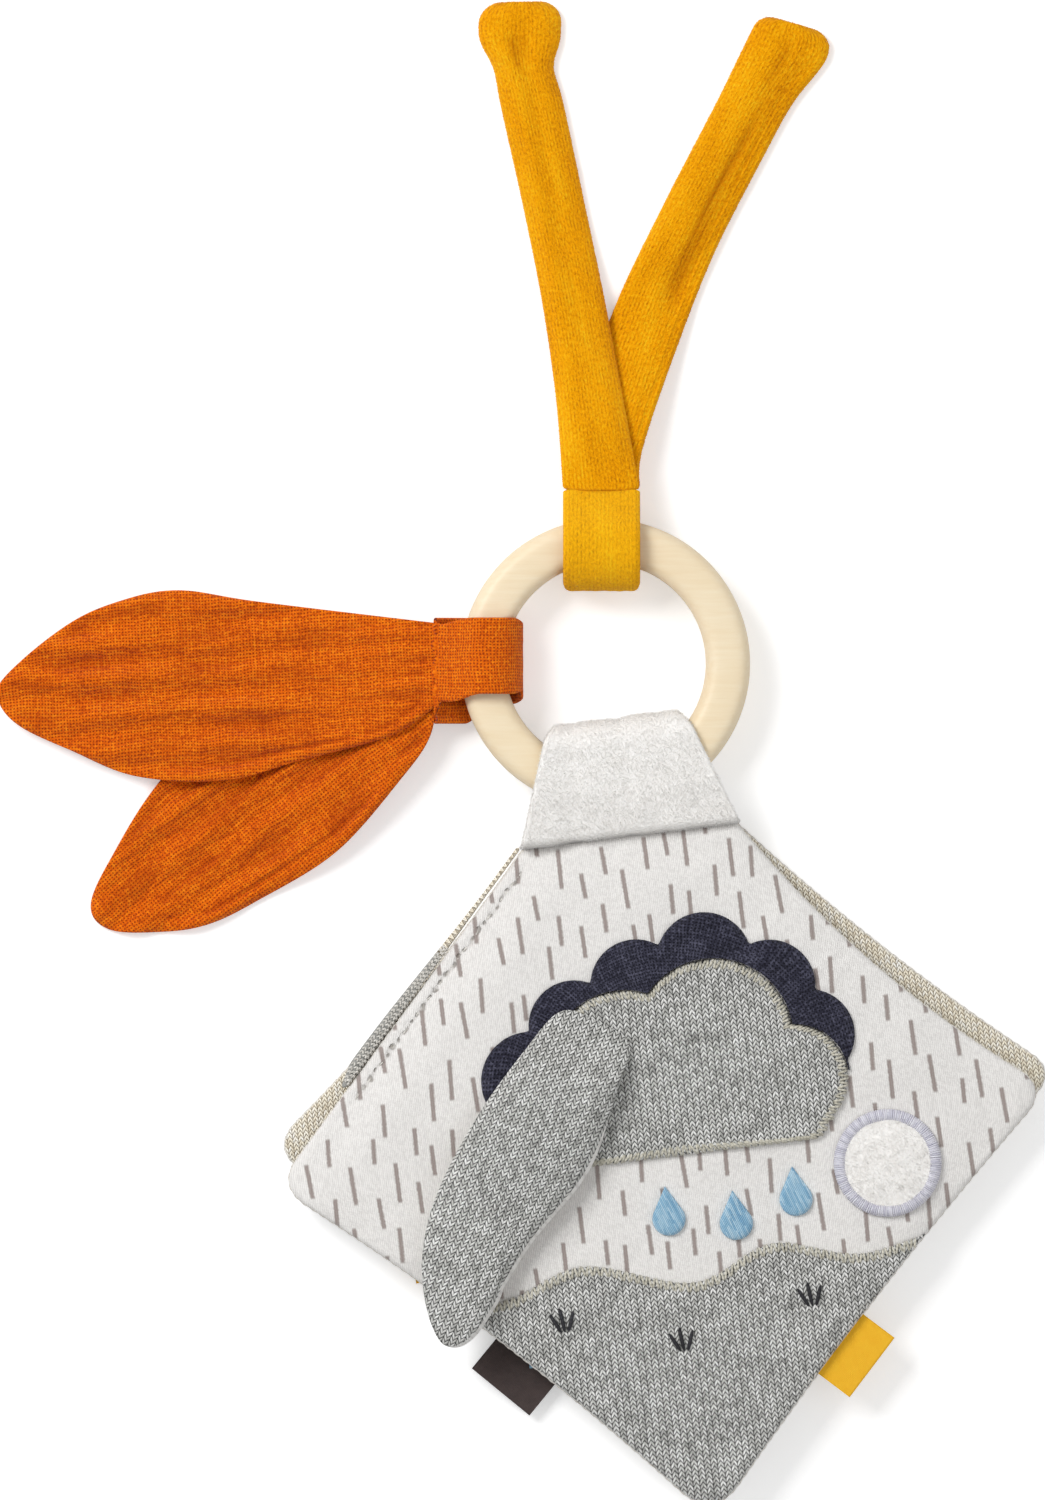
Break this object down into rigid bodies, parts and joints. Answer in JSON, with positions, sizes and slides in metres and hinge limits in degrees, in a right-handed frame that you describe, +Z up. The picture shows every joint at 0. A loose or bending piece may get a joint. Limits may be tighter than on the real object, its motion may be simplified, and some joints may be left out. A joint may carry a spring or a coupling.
{
  "type": "cloth baby book",
  "caption": "Padded cloth book hung from a wooden ring by a plush tab, with a lift-up flap, velour strap ends and crinkled muslin leaves on the ring.",
  "frame": {"origin": "on the table, under the middle of the closed book, in the flat underside of the back cover", "axes": "+Z up out of the front cover, +Y from the book towards the ring and the strap, +X to the right as seen from above"},
  "size_m": [0.2532, 0.3627, 0.022],
  "materials": {
    "print_jersey": "white ribbed jersey printed with small taupe dashes",
    "grey_knit": "flecked grey knit",
    "beige_knit": "beige knit",
    "wadding": "loose polyester wadding",
    "crinkle_foil": "thin crackling film",
    "navy_muslin": "crinkled double muslin",
    "white_plush": "short plush pile",
    "blue_thread": "satin stitched",
    "mustard_velour": "velour pile",
    "orange_muslin": "crinkled double muslin",
    "pale_wood": "smooth unpainted pale hardwood",
    "yellow_ribbon": "woven ribbon, blank",
    "brown_ribbon": "woven ribbon, blank"
  },
  "bodies": {
    "back_leaf": {"back_cover_panel": "beige_knit", "back_inner_panel": "beige_knit", "back_wadding": "wadding", "spine_binding": "grey_knit", "care_tag": "brown_ribbon", "yellow_patch": "yellow_ribbon", "blue_patch": "blue_thread"},
    "front_leaf": {"front_cover_panel": "print_jersey", "front_inner_panel": "grey_knit", "front_wadding": "wadding", "crinkle_foil": "crinkle_foil", "cloud_applique": "grey_knit", "scallop_trim": "navy_muslin", "hill_applique": "grey_knit", "moon_patch": "white_plush", "rain_drop_1": "blue_thread", "rain_drop_2": "blue_thread", "rain_drop_3": "blue_thread", "side_tag": "yellow_ribbon"},
    "flap": {"drop_flap": "grey_knit"},
    "tab": {"plush_tab": "white_plush"},
    "ring": {"wooden_ring": "pale_wood"},
    "strap_loop": {"strap_loop": "mustard_velour"},
    "strap_arm_back": {"strap_arm_back": "mustard_velour"},
    "strap_arm_front": {"strap_arm_front": "mustard_velour"},
    "muslin_band": {"muslin_band": "orange_muslin"},
    "muslin_leaf_lower": {"muslin_leaf_lower": "orange_muslin"},
    "muslin_leaf_upper": {"muslin_leaf_upper": "orange_muslin"}
  },
  "joints": [
    {"name": "front_leaf_hinge", "type": "hinge", "parent": "back_leaf", "child": "front_leaf", "pos_m": [-0.05795, 0.03774, 0.0072], "axis": [0.5904, 0.8071, 0], "range_deg": [-140, 0]},
    {"name": "flap_hinge", "type": "hinge", "parent": "front_leaf", "child": "flap", "pos_m": [-0.01591, 0.02535, 0.0186], "axis": [-0.9143, 0.4051, 0], "range_deg": [0, 120]},
    {"name": "tab_hinge", "type": "hinge", "parent": "back_leaf", "child": "tab", "pos_m": [-0.00869, 0.07077, 0.0046], "axis": [0.9925, 0.1219, 0], "range_deg": [0, 25]},
    {"name": "ring_turn", "type": "hinge", "parent": "tab", "child": "ring", "pos_m": [-0.01464, 0.11182, 0.00986], "axis": [0, 0, 1], "range_deg": [-20, 12]},
    {"name": "strap_loop_hinge", "type": "hinge", "parent": "ring", "child": "strap_loop", "pos_m": [-0.01554, 0.1403, 0.00986], "axis": [-1, 0, 0], "range_deg": [-60, 0]},
    {"name": "strap_arm_back_hinge", "type": "hinge", "parent": "strap_loop", "child": "strap_arm_back", "pos_m": [-0.01554, 0.1533, 0.01261], "axis": [-1, 0, 0], "range_deg": [-45, 0]},
    {"name": "strap_arm_front_hinge", "type": "hinge", "parent": "strap_arm_back", "child": "strap_arm_front", "pos_m": [-0.01554, 0.1533, 0.01261], "axis": [-1, 0, 0], "range_deg": [-45, 0]},
    {"name": "muslin_band_hinge", "type": "hinge", "parent": "ring", "child": "muslin_band", "pos_m": [-0.04289, 0.11252, 0.00986], "axis": [0, 1, 0], "range_deg": [0, 30]},
    {"name": "muslin_leaf_lower_hinge", "type": "hinge", "parent": "muslin_band", "child": "muslin_leaf_lower", "pos_m": [-0.05529, 0.11252, 0.01131], "axis": [0, 1, 0], "range_deg": [0, 15]},
    {"name": "muslin_leaf_upper_hinge", "type": "hinge", "parent": "muslin_leaf_lower", "child": "muslin_leaf_upper", "pos_m": [-0.05529, 0.11252, 0.01131], "axis": [0, 1, 0], "range_deg": [0, 45]}
  ]
}
